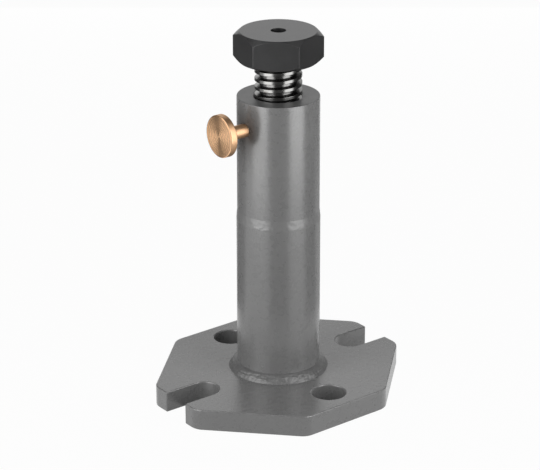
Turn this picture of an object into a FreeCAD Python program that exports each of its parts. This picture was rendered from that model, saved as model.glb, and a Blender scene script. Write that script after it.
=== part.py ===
# Machinist jack: a hex-headed screw in a welded column on a slotted base plate.
# Millimetres. +Z is up and the jack stands on Z = 0, with the column's axis on the origin.
# The base plate's sides run along X and Y. The lock screw points to -X and -Y, over one slot.
import FreeCAD, Part
import Sketcher
import math
import os

from FreeCAD import Vector

# Every size that can be set by itself: name, millimetres or degrees, what it is.
DRIVING = [
    ("plate_length", 137.0, "base plate along X"),
    ("plate_width", 142.0, "base plate along Y"),
    ("plate_thickness", 13.0, "base plate"),
    ("slot_corner_cut", 29.5, "leg of the two corner cuts that carry the slots"),
    ("hole_cut_along_x", 41.0, "leg along X of the two corner cuts beside the holes"),
    ("hole_cut_along_y", 45.0, "leg along Y of the same cuts"),
    ("plate_corner_radius", 9.0, "upright corners of the plate"),
    ("slot_width", 19.0, "open-ended clamping slots"),
    ("slot_reach", 57.0, "column axis to the centre of a slot's round end"),
    ("slot_angle", 47.0, "slots, turned from X, in degrees"),
    ("hole_diameter", 20.5, "round clamping holes"),
    ("hole_reach", 50.2, "column axis to a clamping hole"),
    ("hole_angle", 45.0, "clamping holes, turned back from X, in degrees"),
    ("plate_bore", 36.0, "hole under the tube, for the stop washer to go in"),
    ("tube_outside", 50.0, "lower tube, outside diameter"),
    ("tube_bore", 38.0, "lower tube, bore"),
    ("seam_height", 109.1, "top of the tube, where the sleeve rests on it"),
    ("sleeve_outside", 49.0, "threaded sleeve, outside diameter"),
    ("column_height", 185.8, "top face of the sleeve"),
    ("countersink", 30.3, "mouth of the thread, diameter"),
    ("register_length", 5.0, "spigot of the sleeve inside the tube"),
    ("register_land", 1.6, "width of the step that rests on the tube"),
    ("register_gap", 0.1, "spigot to tube bore, all round"),
    ("nut_length", 24.0, "tapped length of the sleeve, from its top"),
    ("relief_bore", 30.0, "plain bore below the tapped length"),
    ("seam_width", 6.4, "weld between the tube and the sleeve, along the column"),
    ("seam_proud", 0.3, "that weld over the tube"),
    ("base_bead_leg", 5.2, "base weld out along the plate"),
    ("base_bead_rise", 4.7, "base weld up the tube"),
    ("thread_major", 28.0, "trapezoidal spindle thread, over the crests"),
    ("thread_minor", 22.5, "trapezoidal spindle thread, at the root"),
    ("thread_pitch", 5.0, "spindle thread"),
    ("thread_crest", 1.83, "width of the crest, along the axis"),
    ("thread_flank", 15.0, "half of the thread angle, in degrees"),
    ("crest_gap", 0.25, "spindle to sleeve over crests and roots"),
    ("flank_gap", 0.13, "spindle to sleeve between the flanks, along the axis"),
    ("thread_sides", 18.0, "flat facets that draw one turn of the thread"),
    ("thread_start", 260.0, "where the thread lies, turned about the axis, in degrees"),
    ("blank_spare", 1.0, "how far a blank or a cutter runs past the finished shape"),
    ("head_gap", 21.2, "sleeve top to the underside of the head, as shown"),
    ("travel_up", 25.0, "how far the spindle rises from there to its stop"),
    ("shank_diameter", 22.0, "spindle below its thread"),
    ("thread_spare", 1.0, "spindle thread beyond the tapped length at the top stop"),
    ("journal_diameter", 12.0, "spindle's lower end, inside the stop washer"),
    ("journal_gap", 0.1, "journal to stop washer, all round"),
    ("face_gap", 0.3, "play beside faces that move past each other"),
    ("washer_outside", 34.0, "stop washer"),
    ("washer_thickness", 4.0, "stop washer"),
    ("retainer_head", 16.0, "retaining screw's hexagon head, across flats"),
    ("retainer_head_height", 5.5, "retaining screw's head"),
    ("retainer_shank", 8.0, "retaining screw's shank, diameter"),
    ("retainer_length", 16.0, "retaining screw below its head"),
    ("head_flats", 46.0, "hex head, across flats"),
    ("head_thickness", 18.0, "hex head"),
    ("head_turn", 5.0, "head, turned from square with the plate, in degrees"),
    ("head_top_face", 45.2, "flat round face on top of the head, diameter"),
    ("head_top_slope", 40.0, "top chamfer of the head, in degrees"),
    ("head_foot_face", 45.6, "flat round face under the head, diameter"),
    ("head_foot_slope", 34.0, "lower chamfer of the head, in degrees"),
    ("spigot_diameter", 20.0, "spindle's upper end, pressed into the head"),
    ("spigot_length", 12.0, "spindle's upper end"),
    ("centre_hole", 9.0, "hole in the middle of the head, diameter"),
    ("centre_hole_depth", 18.0, "centre hole, from the top of the head"),
    ("lock_drop", 17.0, "sleeve top down to the lock screw's axis"),
    ("lock_angle", 45.0, "lock screw, turned from X beyond -X, in degrees"),
    ("lock_diameter", 8.0, "lock screw's shank"),
    ("lock_gap", 0.05, "lock screw to its hole, all round"),
    ("plug_length", 4.2, "soft plug ahead of the lock screw"),
    ("plug_diameter", 7.6, "soft plug"),
    ("knob_reach", 42.9, "column axis to the knob's face"),
    ("knob_diameter", 25.4, "knob of the lock screw"),
    ("knob_thickness", 4.6, "knob of the lock screw"),
    ("knob_edge", 0.7, "chamfer round the knob's face"),
]

# What follows from them, so that pieces which meet take one value.
DERIVED = [
    ("tube_radius", "=tube_outside / 2"),
    ("tube_bore_radius", "=tube_bore / 2"),
    ("sleeve_radius", "=sleeve_outside / 2"),
    ("land_radius", "=tube_bore / 2 + register_land"),
    ("seam_top", "=seam_height + seam_width"),
    ("register_radius", "=tube_bore / 2 - register_gap"),
    ("register_foot", "=seam_height - register_length"),
    ("relief_radius", "=relief_bore / 2"),
    ("nut_foot", "=column_height - nut_length"),
    ("pilot_radius", "=thread_minor / 2 - crest_gap"),
    ("countersink_radius", "=countersink / 2"),
    ("countersink_foot", "=column_height - countersink / 2 + pilot_radius"),
    ("seam_crown", "=tube_outside / 2 + seam_proud"),
    ("bead_outer", "=tube_outside / 2 + base_bead_leg"),
    ("bead_top", "=plate_thickness + base_bead_rise"),
    ("head_foot", "=column_height + head_gap"),
    ("head_top", "=head_foot + head_thickness"),
    ("spigot_radius", "=spigot_diameter / 2"),
    ("spigot_top", "=head_foot + spigot_length"),
    ("centre_hole_radius", "=centre_hole / 2"),
    ("centre_hole_foot", "=head_top - centre_hole_depth"),
    ("shank_radius", "=shank_diameter / 2"),
    ("spindle_thread_foot", "=nut_foot - travel_up - thread_spare"),
    ("washer_top", "=register_foot - travel_up - face_gap"),
    ("washer_foot", "=washer_top - washer_thickness"),
    ("washer_radius", "=washer_outside / 2"),
    ("washer_bore_radius", "=journal_diameter / 2 + journal_gap"),
    ("journal_radius", "=journal_diameter / 2"),
    ("journal_top", "=washer_top + face_gap"),
    ("journal_foot", "=washer_foot - face_gap"),
    ("retainer_head_foot", "=journal_foot - retainer_head_height"),
    ("retainer_shank_radius", "=retainer_shank / 2"),
    ("retainer_top", "=journal_foot + retainer_length"),
    ("retainer_hole_top", "=retainer_top + 2 * face_gap"),
    ("blank_radius", "=thread_major / 2 + blank_spare"),
    ("lock_height", "=column_height - lock_drop"),
    ("lock_radius", "=lock_diameter / 2"),
    ("lock_hole_radius", "=lock_diameter / 2 + lock_gap"),
    ("plug_radius", "=plug_diameter / 2"),
    ("plug_tip", "=thread_major / 2 + face_gap"),
    ("plug_back", "=plug_tip + plug_length"),
    ("lock_tip", "=plug_back + face_gap"),
    ("knob_radius", "=knob_diameter / 2"),
    ("knob_rim_radius", "=knob_diameter / 2 - knob_edge"),
    ("knob_back", "=knob_reach - knob_thickness"),
    ("knob_face_edge", "=knob_reach - knob_edge"),
]

doc = FreeCAD.newDocument("machinist_jack")
sheet = doc.addObject("Spreadsheet::Sheet", "sizes")


def fill_sheet():
    """Write each size and each derived size into the sheet, one named cell a row."""
    row = 1
    for name, number, meaning in DRIVING:
        sheet.set("A%d" % row, name)
        sheet.set("B%d" % row, str(number))
        sheet.set("C%d" % row, meaning)
        sheet.setAlias("B%d" % row, name)
        row += 1
    for name, formula in DERIVED:
        sheet.set("A%d" % row, name)
        sheet.set("B%d" % row, formula)
        sheet.setAlias("B%d" % row, name)
        row += 1
    doc.recompute()


def size(term):
    """The number behind a size's name, which may have a minus before it."""
    if term == "zero":
        return 0.0
    if term.startswith("-"):
        return -float(sheet.get(term[1:]))
    return float(sheet.get(term))


def formula_of(term):
    """The expression that binds a property to a size."""
    if term.startswith("-"):
        return "-sizes." + term[1:]
    return "sizes." + term


def new_body(label):
    """An empty body with the label that its file takes."""
    body = doc.addObject("PartDesign::Body", label + "_body")
    body.Label = label
    return body


def sketch_on(body, plane, label):
    """A sketch on one of the body's own origin planes."""
    sketch = body.newObject("Sketcher::SketchObject", label)
    origin = [f for f in body.Origin.OriginFeatures if f.Role == plane][0]
    sketch.AttachmentSupport = (origin, [""])
    sketch.MapMode = "FlatFace"
    return sketch


def pin_point(sketch, line, end, across, up):
    """Hold one end of a line at two named sizes from the origin."""
    for kind, axis, term in (("DistanceX", -2, across), ("DistanceY", -1, up)):
        if term == "zero":
            sketch.addConstraint(Sketcher.Constraint("PointOnObject", line, end, axis))
            continue
        number = sketch.addConstraint(
            Sketcher.Constraint(kind, -1, 1, line, end, size(term))
        )
        sketch.setExpression("Constraints[%d]" % number, formula_of(term))


def outline(body, plane, label, points):
    """A closed outline of straight lines through points that are pairs of size names."""
    sketch = sketch_on(body, plane, label)
    places = [Vector(size(across), size(up), 0) for across, up in points]
    first = sketch.GeometryCount
    for number, place in enumerate(places):
        after = places[(number + 1) % len(places)]
        sketch.addGeometry(Part.LineSegment(place, after), False)
    for number in range(len(places)):
        after = (number + 1) % len(places)
        sketch.addConstraint(
            Sketcher.Constraint("Coincident", first + number, 2, first + after, 1)
        )
    for number, (across, up) in enumerate(points):
        pin_point(sketch, first + number, 1, across, up)
    doc.recompute()
    return sketch


def turned(body, label, points, feature="PartDesign::Revolution"):
    """A profile in the XZ plane, turned once round the upright axis."""
    sketch = outline(body, "XZ_Plane", label + "_profile", points)
    turn = body.newObject(feature, label)
    turn.Profile = sketch
    turn.ReferenceAxis = (sketch, ["V_Axis"])
    turn.Angle = 360.0
    doc.recompute()
    return turn


def pad(body, sketch, label, length):
    """Raise a sketch by a named size."""
    raised = body.newObject("PartDesign::Pad", label)
    raised.Profile = sketch
    raised.Length = size(length)
    raised.setExpression("Length", formula_of(length))
    doc.recompute()
    return raised


def through(body, sketch, label):
    """Cut a sketch through the whole body, both ways."""
    cut = body.newObject("PartDesign::Pocket", label)
    cut.Profile = sketch
    cut.Type = 1
    cut.Midplane = True
    doc.recompute()
    return cut


def base_plate():
    """Eight-sided plate: two cut corners carry open slots, the other two lie by the holes."""
    body = new_body("base_plate")
    half_x = "sizes.plate_length / 2"
    half_y = "sizes.plate_width / 2"
    slot_cut = "sizes.slot_corner_cut"
    cut_x = "sizes.hole_cut_along_x"
    cut_y = "sizes.hole_cut_along_y"
    x, y = size("plate_length") / 2, size("plate_width") / 2
    slot_leg = size("slot_corner_cut")
    leg_x, leg_y = size("hole_cut_along_x"), size("hole_cut_along_y")
    corners = [
        (-x, slot_leg - y, "-" + half_x, slot_cut + " - " + half_y),
        (slot_leg - x, -y, slot_cut + " - " + half_x, "-" + half_y),
        (x - leg_x, -y, half_x + " - " + cut_x, "-" + half_y),
        (x, leg_y - y, half_x, cut_y + " - " + half_y),
        (x, y - slot_leg, half_x, half_y + " - " + slot_cut),
        (x - slot_leg, y, half_x + " - " + slot_cut, half_y),
        (leg_x - x, y, cut_x + " - " + half_x, half_y),
        (-x, y - leg_y, "-" + half_x, half_y + " - " + cut_y),
    ]
    sketch = sketch_on(body, "XY_Plane", "plate_outline")
    for number, corner in enumerate(corners):
        after = corners[(number + 1) % len(corners)]
        start = Vector(corner[0], corner[1], 0)
        sketch.addGeometry(Part.LineSegment(start, Vector(after[0], after[1], 0)), False)
    for number in range(len(corners)):
        after = (number + 1) % len(corners)
        sketch.addConstraint(Sketcher.Constraint("Coincident", number, 2, after, 1))
    for number, corner in enumerate(corners):
        for kind, place, formula in (
            ("DistanceX", corner[0], corner[2]),
            ("DistanceY", corner[1], corner[3]),
        ):
            held = sketch.addConstraint(
                Sketcher.Constraint(kind, -1, 1, number, 1, place)
            )
            sketch.setExpression("Constraints[%d]" % held, formula)
    doc.recompute()
    slab = pad(body, sketch, "plate_slab", "plate_thickness")

    upright = []
    for number, edge in enumerate(slab.Shape.Edges, start=1):
        ends = [vertex.Point for vertex in edge.Vertexes]
        if abs(ends[0].z - ends[1].z) > size("plate_thickness") / 2:
            upright.append("Edge%d" % number)
    rounds = body.newObject("PartDesign::Fillet", "plate_corners")
    rounds.Base = (slab, upright)
    rounds.Radius = size("plate_corner_radius")
    rounds.setExpression("Radius", "sizes.plate_corner_radius")
    doc.recompute()

    holes = sketch_on(body, "XY_Plane", "hole_circles")
    angle = math.radians(size("hole_angle"))
    for side in (1, -1):
        place = Vector(
            side * size("hole_reach") * math.cos(angle),
            -side * size("hole_reach") * math.sin(angle),
            0,
        )
        sign = "" if side > 0 else "-"
        other = "-" if side > 0 else ""
        ring = holes.addGeometry(
            Part.Circle(place, Vector(0, 0, 1), size("hole_diameter") / 2), False
        )
        for kind, number, formula in (
            ("DistanceX", place.x, sign + "sizes.hole_reach * cos(sizes.hole_angle)"),
            ("DistanceY", place.y, other + "sizes.hole_reach * sin(sizes.hole_angle)"),
        ):
            held = holes.addConstraint(Sketcher.Constraint(kind, -1, 1, ring, 3, number))
            holes.setExpression("Constraints[%d]" % held, formula)
        held = holes.addConstraint(
            Sketcher.Constraint("Diameter", ring, size("hole_diameter"))
        )
        holes.setExpression("Constraints[%d]" % held, "sizes.hole_diameter")
    ring = holes.addGeometry(
        Part.Circle(Vector(0, 0, 0), Vector(0, 0, 1), size("plate_bore") / 2), False
    )
    holes.addConstraint(Sketcher.Constraint("Coincident", ring, 3, -1, 1))
    held = holes.addConstraint(Sketcher.Constraint("Diameter", ring, size("plate_bore")))
    holes.setExpression("Constraints[%d]" % held, "sizes.plate_bore")
    doc.recompute()
    through(body, holes, "plate_holes")

    slot = sketch_on(body, "XY_Plane", "slot_outline")
    half = size("slot_width") / 2
    reach = size("slot_reach")
    mouth = size("plate_length")
    slot.addGeometry(
        Part.ArcOfCircle(
            Part.Circle(Vector(reach, 0, 0), Vector(0, 0, 1), half),
            math.pi / 2,
            3 * math.pi / 2,
        ),
        False,
    )
    slot.addGeometry(
        Part.LineSegment(Vector(reach, -half, 0), Vector(mouth, -half, 0)), False
    )
    slot.addGeometry(
        Part.LineSegment(Vector(mouth, -half, 0), Vector(mouth, half, 0)), False
    )
    slot.addGeometry(
        Part.LineSegment(Vector(mouth, half, 0), Vector(reach, half, 0)), False
    )
    for constraint in (
        Sketcher.Constraint("Tangent", 0, 2, 1, 1),
        Sketcher.Constraint("Coincident", 1, 2, 2, 1),
        Sketcher.Constraint("Coincident", 2, 2, 3, 1),
        Sketcher.Constraint("Tangent", 3, 2, 0, 1),
        Sketcher.Constraint("Horizontal", 1),
        Sketcher.Constraint("Vertical", 2),
        Sketcher.Constraint("PointOnObject", 0, 3, -1),
    ):
        slot.addConstraint(constraint)
    for constraint, formula in (
        (Sketcher.Constraint("Radius", 0, half), "sizes.slot_width / 2"),
        (Sketcher.Constraint("DistanceX", -1, 1, 0, 3, reach), "sizes.slot_reach"),
        (Sketcher.Constraint("DistanceX", -1, 1, 2, 1, mouth), "sizes.plate_length"),
    ):
        held = slot.addConstraint(constraint)
        slot.setExpression("Constraints[%d]" % held, formula)
    slot.setExpression("AttachmentOffset.Rotation.Angle", "sizes.slot_angle")
    slot.AttachmentOffset = FreeCAD.Placement(
        Vector(0, 0, 0), FreeCAD.Rotation(Vector(0, 0, 1), size("slot_angle"))
    )
    doc.recompute()
    first = through(body, slot, "plate_slot")
    pair = body.newObject("PartDesign::PolarPattern", "plate_slots")
    pair.Originals = [first]
    pair.Axis = (slot, ["N_Axis"])
    pair.Angle = 360.0
    pair.Occurrences = 2
    body.Tip = pair
    doc.recompute()
    return body


def lower_tube():
    """Plain tube that stands on the plate."""
    body = new_body("lower_tube")
    turned(
        body,
        "tube_wall",
        [
            ("tube_bore_radius", "plate_thickness"),
            ("tube_radius", "plate_thickness"),
            ("tube_radius", "seam_height"),
            ("tube_bore_radius", "seam_height"),
        ],
    )
    return body


def seam_weld():
    """Ring of weld that fills the groove between tube and sleeve, dressed nearly flush."""
    body = new_body("seam_weld")
    turned(
        body,
        "seam_ring",
        [
            ("land_radius", "seam_height"),
            ("seam_crown", "seam_height"),
            ("seam_crown", "seam_top"),
            ("land_radius", "seam_top"),
        ],
    )
    return body


def base_weld():
    """Fillet weld in the corner between the plate and the tube."""
    body = new_body("base_weld")
    turned(
        body,
        "base_bead",
        [
            ("tube_radius", "plate_thickness"),
            ("bead_outer", "plate_thickness"),
            ("tube_radius", "bead_top"),
        ],
    )
    return body


def thread_form(label, major, minor, half_crest, foot, top):
    """The helix of a right-hand trapezoidal thread, drawn as flat facets.

    major and minor are the radii at crest and root, half_crest is half of the crest's
    width there. It runs past foot and top by a turn, for a blank to trim.
    """
    pitch = size("thread_pitch")
    sides = int(size("thread_sides"))
    slope = math.tan(math.radians(size("thread_flank")))
    half_root = half_crest + (major - minor) * slope
    start = math.radians(size("thread_start"))
    lead = math.floor((foot - size("head_foot")) / pitch) - 1
    turns = math.ceil((top - size("head_foot")) / pitch) + 1 - lead
    section = (
        (minor, -half_root),
        (major, -half_crest),
        (major, half_crest),
        (minor, half_root),
    )

    def corner(step, place):
        """The section's corner after so many facets, and below it the next turn's."""
        angle = start + 2 * math.pi * step / sides
        radius, offset = section[place]
        height = size("head_foot") + pitch * (lead + step / sides) + offset
        return Vector(radius * math.cos(angle), radius * math.sin(angle), height)

    def facet(*corners):
        return Part.Face(Part.makePolygon(list(corners) + [corners[0]]))

    facets = []
    steps = sides * turns
    for step in range(steps):
        here = [corner(step, place) for place in range(4)]
        there = [corner(step + 1, place) for place in range(4)]
        for low, high in ((0, 1), (2, 3)):
            facets.append(facet(here[low], there[low], there[high]))
            facets.append(facet(here[low], there[high], here[high]))
        facets.append(facet(here[1], there[1], there[2], here[2]))
        if step + sides < steps:
            above, beyond = corner(step + sides, 0), corner(step + sides + 1, 0)
            facets.append(facet(here[3], there[3], beyond, above))
    # the first and the last turn close on flat ends
    ends = (
        ([corner(step, 0) for step in range(sides + 1)], corner(0, 0).z - pitch, 0),
        (
            [corner(steps - sides + step, 3) for step in range(sides + 1)],
            corner(steps, 3).z + pitch,
            steps,
        ),
    )
    for rim, level, step in ends:
        flat = [Vector(point.x, point.y, level) for point in rim]
        for number in range(sides):
            facets.append(
                facet(rim[number], rim[number + 1], flat[number + 1], flat[number])
            )
        facets.append(facet(*flat[:-1]))
        section_end = [corner(step, place) for place in range(4)]
        facets.append(facet(*section_end))
    shell = Part.makeShell(facets)
    shell.sewShape()
    form = doc.addObject("Part::Feature", label)
    form.Shape = Part.makeSolid(shell)
    form.Placement = FreeCAD.Placement()
    return form


def boolean(kind, label, base, tool):
    """Cut, join or keep what two objects share."""
    both = doc.addObject("Part::" + kind, label)
    if kind == "Cut":
        both.Base = base
        both.Tool = tool
    else:
        both.Shapes = [base, tool]
    both.Label = label
    doc.recompute()
    return both


def threaded_sleeve():
    """Upper half of the column: tapped for the spindle, with a hole for the lock screw."""
    blank = new_body("sleeve_blank")
    turned(
        blank,
        "sleeve_wall",
        [
            ("pilot_radius", "nut_foot"),
            ("relief_radius", "nut_foot"),
            ("relief_radius", "register_foot"),
            ("register_radius", "register_foot"),
            ("register_radius", "seam_height"),
            ("land_radius", "seam_height"),
            ("land_radius", "seam_top"),
            ("sleeve_radius", "seam_top"),
            ("sleeve_radius", "column_height"),
            ("countersink_radius", "column_height"),
            ("pilot_radius", "countersink_foot"),
        ],
    )
    slope = math.tan(math.radians(size("thread_flank")))
    around = math.cos(math.pi / size("thread_sides"))
    major = (size("thread_major") / 2 + size("crest_gap")) / around
    half_crest = size("thread_crest") / 2
    widened = half_crest + size("flank_gap") - (major - size("thread_major") / 2) * slope
    tap = thread_form(
        "tap_form",
        major,
        size("thread_minor") / 2 + size("crest_gap"),
        widened,
        size("nut_foot"),
        size("column_height"),
    )
    tapped = boolean("Cut", "sleeve_tapped", blank, tap)
    drill = doc.addObject("Part::Cylinder", "lock_drill")
    drill.setExpression("Radius", "sizes.lock_hole_radius")
    drill.setExpression("Height", "sizes.sleeve_outside")
    place_on_lock_axis(drill)
    return boolean("Cut", "threaded_sleeve", tapped, drill)


def place_on_lock_axis(thing):
    """Lay an upright object along the lock screw's axis, its foot on the column's axis."""
    thing.Placement = FreeCAD.Placement(
        Vector(0, 0, size("lock_height")),
        FreeCAD.Rotation(Vector(0, 0, 1), 180 + size("lock_angle"))
        * FreeCAD.Rotation(Vector(0, 1, 0), 90),
    )
    heading = "create(<<rotation>>; create(<<vector>>; 0; 0; 1); 180 + sizes.lock_angle)"
    lying = "create(<<rotation>>; create(<<vector>>; 0; 1; 0); 90)"
    foot = "create(<<vector>>; 0; 0; sizes.lock_height)"
    thing.setExpression("Placement", "create(<<placement>>; %s; %s * %s)" % (foot, heading, lying))
    doc.recompute()


def spindle():
    """Threaded spindle with a spigot for the head and a journal for the stop washer."""
    blank = new_body("thread_blank")
    turned(
        blank,
        "thread_blank_turn",
        [
            ("zero", "spindle_thread_foot"),
            ("blank_radius", "spindle_thread_foot"),
            ("blank_radius", "head_foot"),
            ("zero", "head_foot"),
        ],
    )
    form = thread_form(
        "spindle_form",
        size("thread_major") / 2,
        size("thread_minor") / 2,
        size("thread_crest") / 2,
        size("spindle_thread_foot"),
        size("head_foot"),
    )
    threaded = boolean("MultiCommon", "spindle_thread", blank, form)
    core = new_body("spindle_core")
    turned(
        core,
        "core_turn",
        [
            ("zero", "journal_foot"),
            ("journal_radius", "journal_foot"),
            ("journal_radius", "journal_top"),
            ("shank_radius", "journal_top"),
            ("shank_radius", "head_foot"),
            ("spigot_radius", "head_foot"),
            ("spigot_radius", "spigot_top"),
            ("zero", "spigot_top"),
        ],
    )
    joined = boolean("MultiFuse", "spindle_joined", core, threaded)
    drills = new_body("spindle_drills")
    turned(
        drills,
        "retainer_drill",
        [
            ("zero", "journal_foot"),
            ("retainer_shank_radius", "journal_foot"),
            ("retainer_shank_radius", "retainer_hole_top"),
            ("zero", "retainer_hole_top"),
        ],
    )
    bored = boolean("Cut", "spindle_bored", joined, drills)
    centre = new_body("centre_drill")
    turned(
        centre,
        "centre_drill_turn",
        [
            ("zero", "centre_hole_foot"),
            ("centre_hole_radius", "centre_hole_foot"),
            ("centre_hole_radius", "head_top"),
            ("zero", "head_top"),
        ],
    )
    return boolean("Cut", "spindle", bored, centre)


def hexagon(body, plane, label, flats, turn):
    """A hexagon round the origin, set by its width across flats and its turn."""
    sketch = sketch_on(body, plane, label)
    corner = size(flats) / math.sqrt(3)
    places = [
        Vector(
            corner * math.cos(math.radians(60 * number)),
            corner * math.sin(math.radians(60 * number)),
            0,
        )
        for number in range(6)
    ]
    for number in range(6):
        after = places[(number + 1) % 6]
        sketch.addGeometry(Part.LineSegment(places[number], after), False)
    ring = sketch.addGeometry(
        Part.Circle(Vector(0, 0, 0), Vector(0, 0, 1), corner), True
    )
    for number in range(6):
        sketch.addConstraint(
            Sketcher.Constraint("Coincident", number, 2, (number + 1) % 6, 1)
        )
        sketch.addConstraint(Sketcher.Constraint("PointOnObject", number, 1, ring))
    for number in range(1, 6):
        sketch.addConstraint(Sketcher.Constraint("Equal", 0, number))
    sketch.addConstraint(Sketcher.Constraint("Coincident", ring, 3, -1, 1))
    sketch.addConstraint(Sketcher.Constraint("PointOnObject", 0, 1, -1))
    held = sketch.addConstraint(Sketcher.Constraint("Radius", ring, corner))
    sketch.setExpression("Constraints[%d]" % held, "sizes.%s / sqrt(3)" % flats)
    sketch.AttachmentOffset = FreeCAD.Placement(
        Vector(0, 0, 0), FreeCAD.Rotation(Vector(0, 0, 1), size(turn) if turn else 0)
    )
    if turn:
        sketch.setExpression("AttachmentOffset.Rotation.Angle", formula_of(turn))
    doc.recompute()
    return sketch


def hex_head():
    """Hexagon with both ends chamfered, bored below for the spindle's spigot."""
    body = new_body("hex_head")
    sketch = hexagon(body, "XY_Plane", "head_hexagon", "head_flats", "head_turn")
    sketch.setExpression("AttachmentOffset.Base.z", "sizes.head_foot")
    doc.recompute()
    pad(body, sketch, "head_bar", "head_thickness")

    corner = "sizes.head_flats / sqrt(3) + sizes.blank_spare"
    spare = size("blank_spare")
    wide = size("head_flats") / math.sqrt(3) + spare
    for label, face, slope, level, side in (
        ("head_top_chamfer", "head_top_face", "head_top_slope", "head_top", 1),
        ("head_foot_chamfer", "head_foot_face", "head_foot_slope", "head_foot", -1),
    ):
        inner = size(face) / 2
        drop = (wide - inner) * math.tan(math.radians(size(slope)))
        corners = [
            (inner, size(level)),
            (wide, size(level) - side * drop),
            (wide, size(level) + side * spare),
            (inner, size(level) + side * spare),
        ]
        sign = "-" if side > 0 else "+"
        back = "+" if side > 0 else "-"
        half = "sizes.%s / 2" % face
        rise = "(%s - %s) * tan(sizes.%s)" % (corner, half, slope)
        formulas = [
            (half, "sizes.%s" % level),
            (corner, "sizes.%s %s %s" % (level, sign, rise)),
            (corner, "sizes.%s %s sizes.blank_spare" % (level, back)),
            (half, "sizes.%s %s sizes.blank_spare" % (level, back)),
        ]
        cutter = sketch_on(body, "XZ_Plane", label + "_profile")
        for number, place in enumerate(corners):
            after = corners[(number + 1) % 4]
            cutter.addGeometry(
                Part.LineSegment(Vector(place[0], place[1], 0), Vector(after[0], after[1], 0)),
                False,
            )
        for number in range(4):
            cutter.addConstraint(
                Sketcher.Constraint("Coincident", number, 2, (number + 1) % 4, 1)
            )
        for number, place in enumerate(corners):
            for kind, at, formula in (
                ("DistanceX", place[0], formulas[number][0]),
                ("DistanceY", place[1], formulas[number][1]),
            ):
                held = cutter.addConstraint(
                    Sketcher.Constraint(kind, -1, 1, number, 1, at)
                )
                cutter.setExpression("Constraints[%d]" % held, formula)
        groove = body.newObject("PartDesign::Groove", label)
        groove.Profile = cutter
        groove.ReferenceAxis = (cutter, ["V_Axis"])
        groove.Angle = 360.0
        doc.recompute()

    turned(
        body,
        "head_bores",
        [
            ("zero", "head_foot"),
            ("spigot_radius", "head_foot"),
            ("spigot_radius", "spigot_top"),
            ("centre_hole_radius", "spigot_top"),
            ("centre_hole_radius", "head_top"),
            ("zero", "head_top"),
        ],
        "PartDesign::Groove",
    )
    return body


def stop_washer():
    """Loose washer that meets the sleeve's foot when the spindle is fully up."""
    body = new_body("stop_washer")
    turned(
        body,
        "washer_ring",
        [
            ("washer_bore_radius", "washer_foot"),
            ("washer_radius", "washer_foot"),
            ("washer_radius", "washer_top"),
            ("washer_bore_radius", "washer_top"),
        ],
    )
    return body


def retaining_screw():
    """Hexagon screw that keeps the stop washer on the spindle."""
    body = new_body("retaining_screw")
    sketch = hexagon(body, "XY_Plane", "retainer_hexagon", "retainer_head", "")
    sketch.setExpression("AttachmentOffset.Base.z", "sizes.retainer_head_foot")
    doc.recompute()
    pad(body, sketch, "retainer_bar", "retainer_head_height")
    turned(
        body,
        "retainer_shaft",
        [
            ("zero", "retainer_head_foot"),
            ("retainer_shank_radius", "retainer_head_foot"),
            ("retainer_shank_radius", "retainer_top"),
            ("zero", "retainer_top"),
        ],
    )
    return body


def lock_screw():
    """Thumb screw: a flat round knob on a straight shank."""
    body = new_body("lock_screw")
    turned(
        body,
        "lock_turn",
        [
            ("zero", "lock_tip"),
            ("lock_radius", "lock_tip"),
            ("lock_radius", "knob_back"),
            ("knob_radius", "knob_back"),
            ("knob_radius", "knob_face_edge"),
            ("knob_rim_radius", "knob_reach"),
            ("zero", "knob_reach"),
        ],
    )
    place_on_lock_axis(body)
    return body


def lock_plug():
    """Short plug that keeps the lock screw's tip off the spindle's crests."""
    body = new_body("lock_plug")
    turned(
        body,
        "plug_turn",
        [
            ("zero", "plug_tip"),
            ("plug_radius", "plug_tip"),
            ("plug_radius", "plug_back"),
            ("zero", "plug_back"),
        ],
    )
    place_on_lock_axis(body)
    return body


def check_and_export(pieces):
    """Stop on any object that didn't build, then write one STEP file a piece."""
    for thing in doc.Objects:
        states = [state for state in thing.State if state in ("Invalid", "Error")]
        if states:
            raise RuntimeError("%s is %s" % (thing.Label, states))
    os.makedirs("parts", exist_ok=True)
    for piece in pieces:
        shape = piece.Shape
        if shape.isNull() or not shape.isValid():
            raise RuntimeError("%s has no valid shape" % piece.Label)
        if len(shape.Solids) != 1:
            raise RuntimeError("%s has %d solids" % (piece.Label, len(shape.Solids)))
        shape.exportStep("parts/%s.step" % piece.Label)
        print("%s: %.0f mm3" % (piece.Label, shape.Volume))


fill_sheet()
PIECES = [
    base_plate(),
    lower_tube(),
    threaded_sleeve(),
    base_weld(),
    seam_weld(),
    spindle(),
    hex_head(),
    stop_washer(),
    retaining_screw(),
    lock_screw(),
    lock_plug(),
]
doc.recompute()
check_and_export(PIECES)
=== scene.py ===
import logging
import math
from collections.abc import Callable, Sequence
from dataclasses import dataclass, replace
from enum import Enum
from typing import ClassVar

import bmesh
import bpy
from bmesh.types import BMEdge, BMesh, BMVert
from bpy.types import ID, Material, NodeSocket, NodeTree, Object, World
from mathutils import Matrix, Vector, noise


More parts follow.
